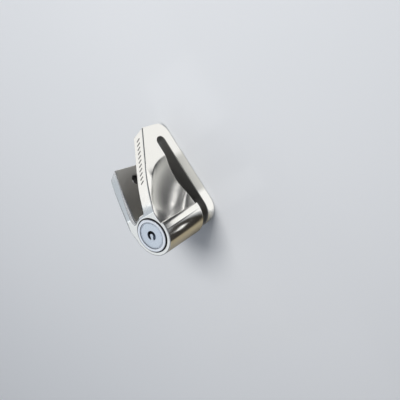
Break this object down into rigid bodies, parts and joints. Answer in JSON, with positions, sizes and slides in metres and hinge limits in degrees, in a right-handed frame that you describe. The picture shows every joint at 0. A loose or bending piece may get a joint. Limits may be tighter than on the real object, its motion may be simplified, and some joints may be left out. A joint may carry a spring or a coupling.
{
  "type": "motorcycle disc brake lock",
  "caption": "Push-to-lock motorcycle disc brake lock: a cast U-shaped body that straddles the brake disc, with a key cylinder on a plunger that drives a pin across the slot.",
  "frame": {"origin": "where the locking pin's axis meets the flat back of the rear jaw", "axes": "+Z along the locking pin from the flat back to the key face, +Y from the pin to the tip of the arm, +X to the side of the hollowed flank"},
  "size_m": [0.0329, 0.0823, 0.0554],
  "materials": {
    "polished_casting": "mirror-polished cast stainless steel, satin in the channel",
    "polished_sleeve": "bright turned steel",
    "satin_chrome": "satin chrome, fine circular brushing",
    "hardened_steel": "ground hardened steel",
    "spring_steel": "drawn spring steel",
    "brass": "machined brass",
    "black_rubber": "moulded nitrile rubber"
  },
  "bodies": {
    "root": {"body_casting": "polished_casting", "stop_pin": "hardened_steel", "pin_wiper_ring": "black_rubber"},
    "plunger": {"plunger_sleeve": "polished_sleeve", "sleeve_o_ring": "black_rubber", "sleeve_back_plate": "hardened_steel", "back_plate_screw_left": "hardened_steel", "back_plate_screw_right": "hardened_steel", "locking_pin": "hardened_steel", "pin_cross_pin": "hardened_steel", "return_spring": "spring_steel"},
    "core": {"core_face": "satin_chrome", "anti_drill_disc": "hardened_steel", "core_barrel": "brass", "detent_disc_1": "brass", "detent_disc_2": "brass", "detent_disc_3": "brass", "detent_disc_4": "brass", "detent_disc_5": "brass", "detent_disc_6": "brass", "detent_disc_7": "brass", "detent_disc_8": "brass", "detent_disc_9": "brass", "disc_spacer_1": "spring_steel", "disc_spacer_2": "spring_steel", "disc_spacer_3": "spring_steel", "disc_spacer_4": "spring_steel", "disc_spacer_5": "spring_steel", "disc_spacer_6": "spring_steel", "disc_spacer_7": "spring_steel", "disc_spacer_8": "spring_steel", "sidebar": "hardened_steel", "cam": "hardened_steel"},
    "latch": {"latch_bolt": "hardened_steel", "latch_spring": "spring_steel"}
  },
  "joints": [
    {"name": "plunger_slide", "type": "slide", "parent": "root", "child": "plunger", "axis": [0, 0, 1], "range_m": [0, 0.013], "deforming": ["return_spring"]},
    {"name": "key_turn", "type": "hinge", "parent": "plunger", "child": "core", "pos_m": [0, 0, 0.0549], "axis": [0, 0, -1], "range_deg": [0, 90]},
    {"name": "latch_slide", "type": "slide", "parent": "plunger", "child": "latch", "axis": [0, 1, 0], "range_m": [0, 0.0022]}
  ],
  "couplings": [
    {"joint": "latch_slide", "follows": "key_turn", "m_per_rad": 0.0014}
  ]
}
